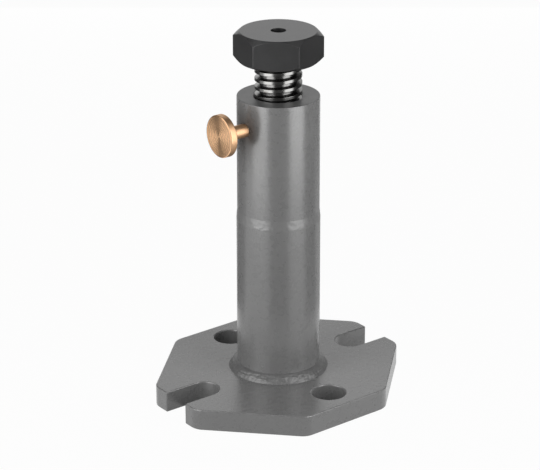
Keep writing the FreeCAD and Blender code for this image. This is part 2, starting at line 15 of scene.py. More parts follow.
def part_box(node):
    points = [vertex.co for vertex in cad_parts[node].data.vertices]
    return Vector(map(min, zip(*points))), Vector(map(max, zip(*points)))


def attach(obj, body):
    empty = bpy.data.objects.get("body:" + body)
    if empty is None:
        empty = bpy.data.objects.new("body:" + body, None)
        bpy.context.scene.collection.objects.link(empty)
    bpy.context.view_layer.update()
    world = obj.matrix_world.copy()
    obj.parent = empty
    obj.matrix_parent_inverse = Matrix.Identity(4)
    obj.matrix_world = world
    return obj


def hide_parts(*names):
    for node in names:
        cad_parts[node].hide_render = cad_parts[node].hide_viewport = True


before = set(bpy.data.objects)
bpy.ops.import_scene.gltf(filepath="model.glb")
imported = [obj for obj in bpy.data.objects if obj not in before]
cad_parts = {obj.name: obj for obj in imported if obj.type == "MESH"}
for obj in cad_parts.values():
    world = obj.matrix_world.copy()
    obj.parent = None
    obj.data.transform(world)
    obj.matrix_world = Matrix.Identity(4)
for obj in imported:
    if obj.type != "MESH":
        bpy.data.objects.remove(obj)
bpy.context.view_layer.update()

LOG = logging.getLogger("machinist_jack")
MERGE_DISTANCE = 1e-7
ON_PLANE = 1e-6
UP = Vector((0.0, 0.0, 1.0))
VIEW_AZIMUTH = math.radians(8.356)

Colour = tuple[float, float, float]
Span = tuple[float, float]
Profile = Sequence[Span]


class Slot(Enum):
    """The record's material slots."""

    GREY_PAINT = "grey_paint"
    BRIGHT_STEEL = "bright_steel"
    BLACK_STEEL = "black_steel"
    BRASS = "brass"


class Body(Enum):
    """The bodies that the pieces ride on."""

    COLUMN = "column"
    SPINDLE = "spindle"
    WASHER = "washer"
    PLUG = "plug"
    LOCK = "lock"


class Carving(Enum):
    """What one solid does to another."""

    CUT = "DIFFERENCE"
    JOIN = "UNION"


class Share(Enum):
    """How a lamp is kept to the knob, or off it."""

    ALONE = "INCLUDE"
    SPARED = "EXCLUDE"


class Wire:
    """A node's output that takes part in Python arithmetic."""

    def __init__(self, graph: "Graph", socket: NodeSocket | None) -> None:
        """Keep the graph, so that arithmetic can add its nodes there."""
        self.graph = graph
        self.socket = socket

    def _sum(self, operation: str, first: object, second: object) -> "Wire":
        """One Math node on two values or wires."""
        return self.graph.add("ShaderNodeMath", {"operation": operation}, {0: first, 1: second})

    def __add__(self, other: object) -> "Wire":
        """Wire plus value."""
        return self._sum("ADD", self, other)

    def __sub__(self, other: object) -> "Wire":
        """Wire minus value."""
        return self._sum("SUBTRACT", self, other)

    def __rsub__(self, other: object) -> "Wire":
        """Value minus wire."""
        return self._sum("SUBTRACT", other, self)

    def __mul__(self, other: object) -> "Wire":
        """Wire times value."""
        return self._sum("MULTIPLY", self, other)

    def __truediv__(self, other: object) -> "Wire":
        """Wire over value."""
        return self._sum("DIVIDE", self, other)

    def __rtruediv__(self, other: object) -> "Wire":
        """Value over wire."""
        return self._sum("DIVIDE", other, self)

    __radd__ = __add__
    __rmul__ = __mul__


class Graph:
    """The node tree of one material or world, built by calls."""

    def __init__(self, tree: NodeTree) -> None:
        """Start from an empty tree."""
        self.tree = tree
        tree.nodes.clear()

    def add(
        self,
        kind: str,
        settings: dict[str, object] | None = None,
        inputs: dict[int | str, object] | None = None,
        output: int | str = 0,
    ) -> Wire:
        """Add a node, set it up and wire its inputs.

        Args:
            kind: the node's type, such as ShaderNodeTexNoise.
            settings: the node's own properties.
            inputs: socket name or number to a value or a wire.
            output: the output that the answer stands for.

        Returns:
            The wire of that output, or of none where the node has no output.
        """
        node = self.tree.nodes.new(kind)
        for name, value in (settings or {}).items():
            setattr(node, name, value)
        for name, value in (inputs or {}).items():
            if isinstance(value, Wire):
                self.tree.links.new(value.socket, node.inputs[name])
            else:
                node.inputs[name].default_value = value
        return Wire(self, node.outputs[output] if node.outputs else None)

    def places(self) -> Wire:
        """Places on the piece, in metres in the row frame."""
        return self.add("ShaderNodeTexCoord", output="Object")

    def height(self, places: Wire) -> Wire:
        """Metres above the plate's underside."""
        return self.add("ShaderNodeSeparateXYZ", inputs={0: places}, output=2)

    def radius(self, places: Wire) -> Wire:
        """Metres from the upright axis."""
        level = self.vector("MULTIPLY", places, (1.0, 1.0, 0.0))
        return self.vector("LENGTH", level, output="Value")

    def noise(
        self, places: Wire, size: float, detail: float = 2.0, along: bool = False
    ) -> Wire:
        """Soft noise from 0 to 1.

        Args:
            places: where on the piece, or how far along a line.
            size: how far apart its patches are, in metres.
            detail: octaves of finer noise.
            along: whether the places are metres along a line.

        Returns:
            The noise value.
        """
        kind, socket = ("1D", "W") if along else ("3D", "Vector")
        settings = {"noise_dimensions": kind}
        inputs = {socket: places, "Scale": 1.0 / size, "Detail": detail}
        return self.add("ShaderNodeTexNoise", settings, inputs, "Fac")

    def rings(self, distance: Wire, size: float, detail: float = 1.0) -> Wire:
        """Uneven tool marks that follow a distance, from 0 to 1."""
        return self.noise(distance, size, detail, along=True)

    def vector(self, operation: str, *terms: object, output: int | str = 0) -> Wire:
        """One Vector Math node.

        Args:
            operation: the node's operation.
            terms: vectors or wires, and for SCALE a number last.
            output: 0 for a vector, "Value" for a number.

        Returns:
            The node's answer.
        """
        names = (0, "Scale") if operation == "SCALE" else (0, 1)
        settings = {"operation": operation}
        return self.add("ShaderNodeVectorMath", settings, dict(zip(names, terms)), output)

    def blend(self, factor: Wire, first: object, second: object) -> Wire:
        """A colour between two, as the factor goes from 0 to 1."""
        colours = {0: factor, 6: first, 7: second}
        return self.add("ShaderNodeMix", {"data_type": "RGBA"}, colours, 2)

    def between(self, value: Wire, low: float, high: float) -> Wire:
        """0 below low, 1 above high and a straight line between."""
        limits = {"Value": value, "From Min": low, "From Max": high}
        return self.add("ShaderNodeMapRange", {"clamp": True}, limits)

    def bump(self, height: Wire, depth: float) -> Wire:
        """A normal from a height of 0 to 1 that stands for depth metres."""
        relief = {"Strength": 1.0, "Distance": depth, "Height": height}
        return self.add("ShaderNodeBump", inputs=relief)

    def seen(self) -> Wire:
        """What the camera sees, straight or in a reflection, told from light.

        Returns:
            1 for what is seen and 0 for light.
        """
        path = self.add("ShaderNodeLightPath").socket.node
        camera, gloss, through = (
            Wire(self, path.outputs[name])
            for name in ("Is Camera Ray", "Is Glossy Ray", "Is Transmission Ray")
        )
        clamped = {"operation": "ADD", "use_clamp": True}
        return self.add("ShaderNodeMath", clamped, {0: camera + gloss, 1: through})

    def glow(self, colour: Colour) -> Wire:
        """A surface that shines in a colour of its own."""
        light = {"Color": rgba(colour), "Strength": 1.0}
        return self.add("ShaderNodeEmission", inputs=light)


def rgba(colour: Colour, shade: float = 1.0) -> tuple[float, float, float, float]:
    """A colour, made lighter or darker, as a socket takes it."""
    return (colour[0] * shade, colour[1] * shade, colour[2] * shade, 1.0)


def wired(
    holder: Material | World, surface: Callable[[Graph], Wire]
) -> Material | World:
    """Give a new material or world its nodes.

    Args:
        holder: the material or the world.
        surface: takes the graph and gives its shader.

    Returns:
        The same material or world.
    """
    holder.use_nodes = True
    graph = Graph(holder.node_tree)
    output = f"ShaderNodeOutput{type(holder).__name__}"
    graph.add(output, inputs={"Surface": surface(graph)})
    return holder


@dataclass(frozen=True)
class SideLine:
    """A level line out of the column's axis, its angle in radians from X."""

    height: float
    angle: float

    @property
    def start(self) -> Vector:
        """Where it leaves the axis."""
        return UP * self.height

    @property
    def out(self) -> Vector:
        """The way it points."""
        return Vector((math.cos(self.angle), math.sin(self.angle), 0.0))

    def place(self, reach: float = 0.0) -> Matrix:
        """The move that lays an upright solid along it, so many metres out."""
        turn = UP.rotation_difference(self.out).to_matrix().to_4x4()
        return Matrix.Translation(self.out * reach + self.start) @ turn


@dataclass(frozen=True, kw_only=True)
class Finish:
    """A finish: its tone and gloss, each of which varies a little over the piece."""

    slot: ClassVar[Slot]
    name: str
    tone: Colour
    shades: Span
    roughness: float
    spread: float

    def tint(self, graph: Graph, mask: Wire) -> Wire:
        """The tone, from its darker shade to its lighter one."""
        darker, lighter = self.shades
        return graph.blend(mask, rgba(self.tone, darker), rgba(self.tone, lighter))

    def gloss(self, mask: Wire) -> Wire:
        """The roughness, from half its spread below to half above."""
        return mask * self.spread + (self.roughness - self.spread / 2.0)

    def sockets(self, graph: Graph) -> dict[str, object]:
        """What the surface shader takes. Each finish gives its own."""
        raise NotImplementedError(self.name)

    def material(self) -> Material:
        """The finish as a material, made when it is first asked for."""
        return bpy.data.materials.get(self.name) or wired(
            bpy.data.materials.new(self.name),
            lambda graph: graph.add("ShaderNodeBsdfPrincipled", inputs=self.sockets(graph)),
        )


@dataclass(frozen=True, kw_only=True)
class SatinPaint(Finish):
    """Grey machine enamel: even colour, satin gloss and a slight orange peel."""

    slot: ClassVar[Slot] = Slot.GREY_PAINT
    name: str = "grey_enamel"
    tone: Colour = (0.137, 0.137, 0.137)
    shades: Span = (0.93, 1.07)
    roughness: float = 0.28
    spread: float = 0.10
    shine: float = 0.8
    clouds_size: float = 0.03
    mottle_size: float = 0.004
    peel_size: float = 0.0016
    peel_depth: float = 0.000022
    lumps_size: float = 0.007
    lumps_depth: float = 0.00008
    # Painted shade: above this height the paint turns darker and duller, as on the sleeve's top
    # face.
    grimed_above: float | None = None
    grime_fade: float = 0.0003
    grime_shade: float = 0.60
    grime_dullness: float = 0.13

    def sockets(self, graph: Graph) -> dict[str, object]:
        """Tone, gloss and relief over the painted piece.

        Args:
            graph: takes the nodes.

        Returns:
            The surface shader's sockets.
        """
        places = graph.places()
        clouds = graph.noise(places, self.clouds_size, 3.0)
        mottle = graph.noise(places, self.mottle_size)
        peel = graph.noise(places, self.peel_size, 1.0)
        lumps = graph.noise(places, self.lumps_size)
        relief = peel * self.peel_depth + lumps * self.lumps_depth
        depth = self.peel_depth + self.lumps_depth
        tone = self.tint(graph, graph.between(clouds * 0.6 + mottle * 0.4, 0.3, 0.7))
        roughness = self.gloss(mottle)
        # Painted shade on the top face: a darker tone and more roughness above the given height.
        if self.grimed_above is not None:
            clean_or_unshaded = self.grimed_above - self.grime_fade
            painted_shade_mask = graph.between(graph.height(places), clean_or_unshaded, self.grimed_above)
            tone = graph.blend(painted_shade_mask, tone, rgba(self.tone, self.grime_shade))
            roughness = roughness + painted_shade_mask * self.grime_dullness
        return {
            "Base Color": tone,
            "Roughness": roughness,
            "Specular IOR Level": self.shine,
            "Normal": graph.bump(relief / depth, depth),
        }


@dataclass(frozen=True, kw_only=True)
class BlackOxide(Finish):
    """Blackened steel: near black, satin, with faint turning marks round the axis."""

    slot: ClassVar[Slot] = Slot.BLACK_STEEL
    name: str = "black_oxide"
    tone: Colour = (0.014, 0.014, 0.0145)
    shades: Span = (0.85, 1.25)
    roughness: float = 0.36
    spread: float = 0.12
    shine: float = 0.9
    marks_size: float = 0.0004
    grain_size: float = 0.0009
    stain_size: float = 0.012
    relief: float = 0.000012

    def sockets(self, graph: Graph) -> dict[str, object]:
        """Tone, gloss and relief over the blackened piece.

        Args:
            graph: takes the nodes.

        Returns:
            The surface shader's sockets.
        """
        places = graph.places()
        marks = graph.rings(graph.radius(places), self.marks_size)
        grain = graph.noise(places, self.grain_size, 3.0)
        stain = graph.between(graph.noise(places, self.stain_size, 3.0), 0.35, 0.7)
        return {
            "Base Color": self.tint(graph, stain),
            "Roughness": self.gloss(grain),
            "Specular IOR Level": self.shine,
            "Normal": graph.bump(marks * 0.4 + grain * 0.6, self.relief),
        }


@dataclass(frozen=True, kw_only=True)
class TurnedSteel(Finish):
    """Bright machined steel, where asked a little darker towards the axis with painted shade."""

    slot: ClassVar[Slot] = Slot.BRIGHT_STEEL
    tone: Colour = (0.17, 0.169, 0.166)
    shades: Span = (0.7, 1.0)
    roughness: float = 0.22
    spread: float = 0.14
    # Painted shade: nearer the axis than this radius, the thread's roots among it, the steel is
    # darker.
    oiled_below: float | None = None
    oil_fade: float = 0.0006
    marks_size: float = 0.0003
    smear_size: float = 0.005
    relief: float = 0.000006

    def sockets(self, graph: Graph) -> dict[str, object]:
        """Tone, gloss and relief over the machined piece.

        Args:
            graph: takes the nodes.

        Returns:
            The surface shader's sockets.
        """
        places = graph.places()
        radius = graph.radius(places)
        marks = graph.rings(graph.height(places), self.marks_size) * 0.5
        marks = marks + graph.rings(radius, self.marks_size) * 0.5
        smear = graph.noise(places, self.smear_size, 3.0)
        if self.oiled_below is None:
            clean_or_unshaded = graph.between(smear, 0.2, 0.5)
        # Painted shade: darker in the thread's roots and everything nearer the axis.
        else:
            clean_or_unshaded = graph.between(radius, self.oiled_below, self.oiled_below + self.oil_fade)
        return {
            "Base Color": self.tint(graph, clean_or_unshaded),
            "Metallic": 1.0,
            "Roughness": self.gloss(smear),
            "Normal": graph.bump(marks, self.relief),
        }


@dataclass(frozen=True, kw_only=True)
class TurnedBrass(Finish):
    """Brass with rings of tool marks round its own axis, bright on its face alone, with painted
    shade darkening and dulling the rest.
    """

    slot: ClassVar[Slot] = Slot.BRASS
    line: SideLine
    face: float
    tone: Colour = (0.90, 0.555, 0.32)
    shades: Span = (0.90, 1.05)
    roughness: float = 0.24
    spread: float = 0.12
    marks_size: float = 0.0003
    stain_size: float = 0.004
    relief: float = 0.00003
    bright_depth: float = 0.0003
    dull_depth: float = 0.0008
    dull_shade: float = 0.62
    dullness: float = 0.20

    def sockets(self, graph: Graph) -> dict[str, object]:
        """Tone, gloss and relief over the turned piece.

        Args:
            graph: takes the nodes.

        Returns:
            The surface shader's sockets.
        """
        places = graph.places()
        axis = tuple(self.line.out)
        arm = graph.vector("SUBTRACT", places, tuple(self.line.start))
        along = graph.vector("DOT_PRODUCT", arm, axis, output="Value")
        across = graph.vector("SUBTRACT", arm, graph.vector("SCALE", axis, along))
        radius = graph.vector("LENGTH", across, output="Value")
        marks = graph.rings(radius, self.marks_size, 2.0) * 0.8
        marks = marks + graph.rings(along, self.marks_size) * 0.2
        stain = graph.noise(places, self.stain_size, 3.0)
        # Painted shade: behind the face, the rim, back and shank are darker and duller.
        bright = graph.between(along, self.face - self.dull_depth, self.face - self.bright_depth)
        painted_rim_shade = rgba(self.tone, self.dull_shade)
        return {
            "Base Color": graph.blend(bright, painted_rim_shade, self.tint(graph, stain)),
            "Metallic": 1.0,
            "Roughness": self.gloss(stain) + (1.0 - bright) * self.dullness,
            "Normal": graph.bump(marks, self.relief),
        }


def linked(name: str, data: ID) -> Object:
    """Put data into the scene.

    Args:
        name: the object's name.
        data: what it shows.

    Returns:
        The new object.
    """
    thing = bpy.data.objects.new(name, data)
    bpy.context.scene.collection.objects.link(thing)
    return thing


def meshed(name: str, solid: BMesh) -> Object:
    """Put a solid into the scene.

    Args:
        name: the object's name.
        solid: its shape. It is used up.

    Returns:
        The new object.
    """
    mesh = bpy.data.meshes.new(name)
    solid.to_mesh(mesh)
    solid.free()
    return linked(name, mesh)


def spun(
    profile: Profile,
    angle: float,
    steps: int,
    start: float = 0.0,
    climb: float = 0.0,
    whole: bool = False,
) -> BMesh:
    """Sweep a line of corners round the upright axis.

    Args:
        profile: (radius, height) pairs in order.
        angle: how far it goes round, in radians.
        steps: facets on the way.
        start: where it starts, in radians from X.
        climb: how far it rises with each facet.
        whole: whether it is one full turn, which joins the ends of a line off the axis.

    Returns:
        The swept shape.
    """
    solid = bmesh.new()
    across, along = math.cos(start), math.sin(start)
    corners = [solid.verts.new((r * across, r * along, height)) for r, height in profile]
    lines = [solid.edges.new(pair) for pair in zip(corners, corners[1:])]
    if whole and max(profile[0][0], profile[-1][0]) > 0.0:
        lines.append(solid.edges.new((corners[-1], corners[0])))
    bmesh.ops.spin(
        solid,
        geom=corners + lines,
        cent=(0.0, 0.0, 0.0),
        axis=UP,
        dvec=(0.0, 0.0, climb),
        angle=angle,
        steps=steps,
        use_merge=whole,
    )
    return solid


def turned(profile: Profile, steps: int = 144) -> BMesh:
    """Turn a profile once round the upright axis.

    Args:
        profile: (radius, height) pairs in order. One that starts and ends on the axis
            stays open there.
        steps: facets round the axis.

    Returns:
        A closed solid.
    """
    solid = spun(profile, math.tau, steps, whole=True)
    bmesh.ops.remove_doubles(solid, verts=solid.verts, dist=MERGE_DISTANCE)
    bmesh.ops.recalc_face_normals(solid, faces=solid.faces)
    return solid


def ring(bore: float, radius: float, low: float, high: float, steps: int = 144) -> BMesh:
    """A plain ring from one height to another, or a bar where the bore's radius is 0."""
    return turned([(bore, low), (radius, low), (radius, high), (bore, high)], steps)


def rounding(radius: float, height: float, bend: float, start: float) -> Profile:
    """A quarter round in five facets, from so many degrees up from straight outwards."""
    angles = [math.radians(start + 90.0 * step / 5.0) for step in range(6)]
    return [(radius + bend * math.cos(a), height + bend * math.sin(a)) for a in angles]


def bevelled(solid: BMesh, edges: Sequence[BMEdge], width: float, segments: int) -> None:
    """Round some edges.

    Args:
        solid: the solid to work on.
        edges: its edges that are rounded.
        width: how far the rounding reaches from the edge.
        segments: facets across the rounding.
    """
    bmesh.ops.bevel(
        solid,
        geom=edges,
        offset=width,
        offset_type="OFFSET",
        affect="EDGES",
        segments=segments,
        profile=0.5,
        clamp_overlap=True,
        material=-1,
    )


def broken(
    solid: BMesh,
    width: float,
    segments: int = 3,
    sharper_than: float = 30.0,
    above: float = -math.inf,
) -> None:
    """Round every edge that is sharper than an angle.

    Args:
        solid: the solid to work on.
        width: how far the rounding reaches from the edge.
        segments: facets across the rounding.
        sharper_than: degrees between the two faces.
        above: height above which the edges lie.
    """
    limit = math.radians(sharper_than)
    sharp = [
        edge
        for edge in solid.edges
        if len(edge.link_faces) == 2
        and edge.verts[0].co.z > above
        and edge.calc_face_angle() > limit
    ]
    bevelled(solid, sharp, width, segments)


def trimmed(solid: BMesh, place: Vector, outwards: Vector) -> None:
    """Cut a solid flat by a plane and close the cut.

    Args:
        solid: the solid to work on.
        place: a point on the plane.
        outwards: the side that is cut away.
    """
    bmesh.ops.bisect_plane(
        solid,
        geom=solid.verts[:] + solid.edges[:] + solid.faces[:],
        dist=MERGE_DISTANCE,
        plane_co=place,
        plane_no=outwards,
        clear_outer=True,
    )
    rim = [
        edge
        for edge in solid.edges
        if edge.is_boundary
        and all(abs((v.co - place).dot(outwards)) < ON_PLANE for v in edge.verts)
    ]
    bmesh.ops.holes_fill(solid, edges=rim, sides=0)


def hexagonal(solid: BMesh, flats: float, turn: float = 0.0) -> None:
    """Cut six flats on a turned blank.

    Args:
        solid: the blank.
        flats: width across the flats.
        turn: where a corner points, in radians from X.
    """
    for side in range(6):
        angle = turn + math.radians(30.0 + 60.0 * side)
        outwards = Vector((math.cos(angle), math.sin(angle), 0.0))
        trimmed(solid, outwards * flats / 2.0, outwards)
    bmesh.ops.recalc_face_normals(solid, faces=solid.faces)


def raised(solid: BMesh, height: float) -> None:
    """Extrude a flat shape upwards into a solid.

    Args:
        solid: the shape to work on.
        height: how far it goes up.
    """
    made = bmesh.ops.extrude_face_region(solid, geom=solid.faces[:])["geom"]
    top = [item for item in made if isinstance(item, BMVert)]
    bmesh.ops.translate(solid, verts=top, vec=UP * height)
    bmesh.ops.recalc_face_normals(solid, faces=solid.faces)


def drill(radius: float, depth: float, place: Matrix, facets: int) -> BMesh:
    """A round bar to cut a hole with.

    Args:
        radius: its radius.
        depth: its length.
        place: the move that puts its middle in place and turns it.
        facets: facets round it.

    Returns:
        The bar.
    """
    solid = bmesh.new()
    bmesh.ops.create_cone(
        solid,
        cap_ends=True,
        segments=facets,
        radius1=radius,
        radius2=radius,
        depth=depth,
        matrix=place,
    )
    return solid


def carved(base: BMesh, tool: BMesh, carving: Carving = Carving.CUT) -> BMesh:
    """Cut a tool out of a solid, or join the two.

    Args:
        base: the solid to work on. It is used up.
        tool: the other solid. It is used up.
        carving: what to do.

    Returns:
        A new solid.
    """
    made = [meshed("base", base), meshed("tool", tool)]
    modifier = made[0].modifiers.new("carving", "BOOLEAN")
    modifier.operation = carving.value
    modifier.solver = "EXACT"
    modifier.object = made[1]
    result = bmesh.new()
    result.from_object(made[0], bpy.context.evaluated_depsgraph_get())
    for thing in made:
        mesh = thing.data
        bpy.data.objects.remove(thing)
        bpy.data.meshes.remove(mesh)
    bmesh.ops.remove_doubles(result, verts=result.verts, dist=MERGE_DISTANCE)
    return result


@dataclass(frozen=True)
class Thread:
    """A right-hand screw thread with flat crests and roots."""

    major_radius: float
    minor_radius: float
    pitch: float
    crest_width: float
    flank: float
    crest_height: float
    crest_angle: float = 0.0
    edge: float = 0.00012
    steps: int = 96

    def bar(self, foot: float, top: float) -> BMesh:
        """A round bar with the thread cut on it.

        Args:
            foot: where the bar ends below.
            top: where it ends above.

        Returns:
            A closed solid.
        """
        lead = math.floor((foot - self.crest_height) / self.pitch) - 1
        turns = math.ceil((top - self.crest_height) / self.pitch) + 1 - lead
        first = self.crest_height + lead * self.pitch
        half_crest = self.crest_width / 2.0
        half_root = half_crest + (self.major_radius - self.minor_radius) * math.tan(self.flank)
        half = (
            (self.minor_radius, self.pitch / 2.0),
            (self.minor_radius, half_root),
            (self.major_radius, half_crest),
        )
        section = [(radius, first - rise) for radius, rise in half]
        section += [(radius, first + rise) for radius, rise in reversed(half)]
        climb = self.pitch / self.steps
        angle = math.tau * turns
        solid = spun(section, angle, self.steps * turns, self.crest_angle, climb)
        bmesh.ops.remove_doubles(solid, verts=solid.verts, dist=self.edge / 10.0)
        broken(solid, self.edge, 2, sharper_than=40.0)
        trimmed(solid, UP * top, UP)
        trimmed(solid, UP * foot, -UP)
        bmesh.ops.recalc_face_normals(solid, faces=solid.faces)
        return solid


@dataclass(frozen=True)
class Reach:
    """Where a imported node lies: its lowest and highest corner."""

    low: Vector
    high: Vector

    @classmethod
    def of(cls, node: str) -> "Reach":
        """The reach of one node."""
        return cls(*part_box(node))

    @property
    def ends(self) -> Span:
        """Its lowest and its highest height."""
        return self.low.z, self.high.z

    @property
    def radius(self) -> float:
        """Half of the longer side as seen from above."""
        return max(self.high.x - self.low.x, self.high.y - self.low.y) / 2.0


def finished(
    solid: BMesh,
    name: str,
    node: str,
    body: Body,
    finish: Finish,
    smooth_below: float = 40.0,
) -> Object:
    """Make a solid a piece of the scene.

    Args:
        solid: its shape. It is used up.
        name: the piece's name.
        node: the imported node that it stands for.
        body: what it rides on.
        finish: its finish.
        smooth_below: edges flatter than so many degrees are shaded smooth.

    Returns:
        The new object.
    """
    piece = meshed(name, solid)
    piece.data.shade_smooth()
    piece.data.set_sharp_from_angle(angle=math.radians(smooth_below))
    piece.data.materials.append(finish.material())
    piece.modifiers.new("even_shading", "WEIGHTED_NORMAL").keep_sharp = True
    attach(piece, body.value)
    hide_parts(node)
    LOG.info("%s: %d faces, stands for %s", name, len(piece.data.polygons), node)
    return piece


@dataclass
class BasePlate:
    """Eight-sided plate with two open slots and two round holes."""

    paint: Finish = SatinPaint(name="plate_enamel", peel_depth=0.000014, lumps_depth=0.00004)
    slot_corner_cut: float = 0.0295
    hole_cut_along_x: float = 0.041
    hole_cut_along_y: float = 0.045
    corner_turn: float = math.radians(45.0)
    corner_radius: float = 0.009
    corner_facets: int = 10
    slot_width: float = 0.019
    slot_reach: float = 0.057
    slot_angle: float = math.radians(47.0)
    slot_facets: int = 64
    hole_diameter: float = 0.0205
    hole_reach: float = 0.0502
    hole_angle: float = math.radians(45.0)
    hole_facets: int = 96
    bore: float = 0.036
    edge: float = 0.0008
    overcut: float = 0.002
    merge: float = 0.00001
    reach: Reach = Reach.of("base_plate")

    def slab(self) -> BMesh:
        """The plate before its holes, with rounded upright corners.

        Returns:
            A closed solid.
        """
        half = (self.reach.high - self.reach.low) / 2.0
        near = (
            (-half.x, self.slot_corner_cut - half.y),
            (self.slot_corner_cut - half.x, -half.y),
            (half.x - self.hole_cut_along_x, -half.y),
            (half.x, self.hole_cut_along_y - half.y),
        )
        corners = [(side * x, side * y, 0.0) for side in (1.0, -1.0) for x, y in near]
        solid = bmesh.new()
        solid.faces.new([solid.verts.new(corner) for corner in corners])
        raised(solid, self.reach.high.z)
        upright = [
            edge
            for edge in solid.edges
            if abs(edge.verts[0].co.z - edge.verts[1].co.z) > self.edge
        ]
        offset = self.corner_radius * math.tan(self.corner_turn / 2.0)
        bevelled(solid, upright, offset, self.corner_facets)
        return solid

    def slot_bar(self, turn: float) -> BMesh:
        """A bar with a round end, to cut one slot.

        Args:
            turn: where the slot points, in radians from X.

        Returns:
            The bar.
        """
        solid = bmesh.new()
        bmesh.ops.create_circle(
            solid, cap_ends=True, segments=self.slot_facets, radius=self.slot_width / 2.0
        )
        mouth = self.reach.high.x
        for corner in solid.verts:
            if corner.co.x > 0.0:
                corner.co.x = mouth
        place = (self.slot_reach, 0.0, -self.overcut)
        bmesh.ops.translate(solid, verts=solid.verts, vec=place)
        raised(solid, self.reach.high.z + 2.0 * self.overcut)
        bmesh.ops.remove_doubles(solid, verts=solid.verts, dist=self.merge)
        bmesh.ops.rotate(solid, verts=solid.verts, matrix=Matrix.Rotation(turn, 3, "Z"))
        return solid

    def build(self) -> None:
        """Shape and dress the plate."""
        solid = self.slab()
        for turn in (self.slot_angle, self.slot_angle + math.pi):
            solid = carved(solid, self.slot_bar(turn))
        x = self.hole_reach * math.cos(self.hole_angle)
        y = self.hole_reach * math.sin(self.hole_angle)
        for diameter, place in (
            (self.hole_diameter, (x, -y, 0.0)),
            (self.hole_diameter, (-x, y, 0.0)),
            (self.bore, (0.0, 0.0, 0.0)),
        ):
            move = Matrix.Translation(place)
            tool = drill(diameter / 2.0, 4.0 * self.reach.high.z, move, self.hole_facets)
            solid = carved(solid, tool)
        broken(solid, self.edge, sharper_than=40.0)
        finished(solid, "painted_plate", "base_plate", Body.COLUMN, self.paint)


